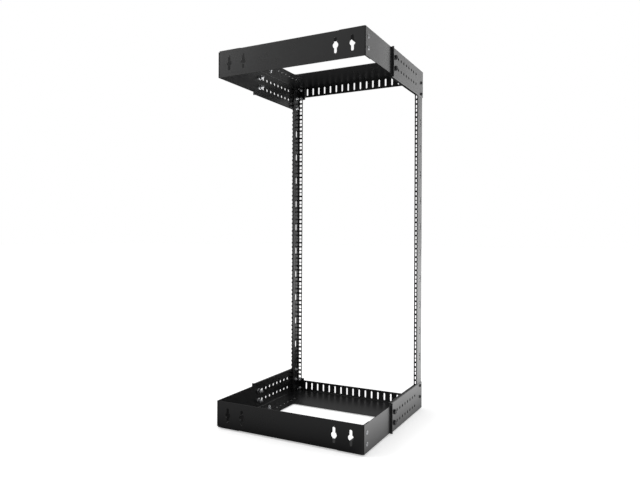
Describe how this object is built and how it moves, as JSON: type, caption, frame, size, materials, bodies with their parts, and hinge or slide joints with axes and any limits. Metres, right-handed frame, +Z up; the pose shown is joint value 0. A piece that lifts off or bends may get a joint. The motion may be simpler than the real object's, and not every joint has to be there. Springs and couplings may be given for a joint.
{
  "type": "two post open frame rack",
  "caption": "Wall-mount open frame rack: two slotted wall brackets that slide for depth carry a pair of square-holed 19-inch rails.",
  "frame": {"origin": "bottom centre of the rack's box, at floor level", "axes": "+X to the right as seen from the wall, +Y away from the wall, +Z up"},
  "size_m": [0.4998, 0.5238, 1.165],
  "materials": {
    "powder_coat": "fine textured satin black powder coat",
    "black_fastener": "black zinc",
    "zinc_fastener": "bright zinc",
    "zinc_rivet": "dull zinc"
  },
  "bodies": {
    "root": {"depth_bolts_bottom_left": "black_fastener", "depth_bolts_bottom_right": "black_fastener", "depth_bolts_top_left": "black_fastener", "depth_bolts_top_right": "black_fastener", "depth_nuts_bottom_left": "zinc_fastener", "depth_nuts_bottom_right": "zinc_fastener", "depth_nuts_top_left": "zinc_fastener", "depth_nuts_top_right": "zinc_fastener", "front_bracket_bottom": "powder_coat", "front_bracket_top": "powder_coat", "rail_bolts_bottom_left": "black_fastener", "rail_bolts_bottom_right": "black_fastener", "rail_bolts_top_left": "black_fastener", "rail_bolts_top_right": "black_fastener", "rail_left": "powder_coat", "rail_nuts_bottom_left": "zinc_fastener", "rail_nuts_bottom_right": "zinc_fastener", "rail_nuts_top_left": "zinc_fastener", "rail_nuts_top_right": "zinc_fastener", "rail_right": "powder_coat", "rail_screws_bottom_left": "black_fastener", "rail_screws_bottom_right": "black_fastener", "rail_screws_top_left": "black_fastener", "rail_screws_top_right": "black_fastener", "rivets_bottom_left": "zinc_rivet", "rivets_bottom_right": "zinc_rivet", "rivets_top_left": "zinc_rivet", "rivets_top_right": "zinc_rivet", "wall_arm_bottom_left": "powder_coat", "wall_arm_bottom_right": "powder_coat", "wall_arm_top_left": "powder_coat", "wall_arm_top_right": "powder_coat", "wall_plate_bottom": "powder_coat", "wall_plate_top": "powder_coat"}
  },
  "joints": []
}
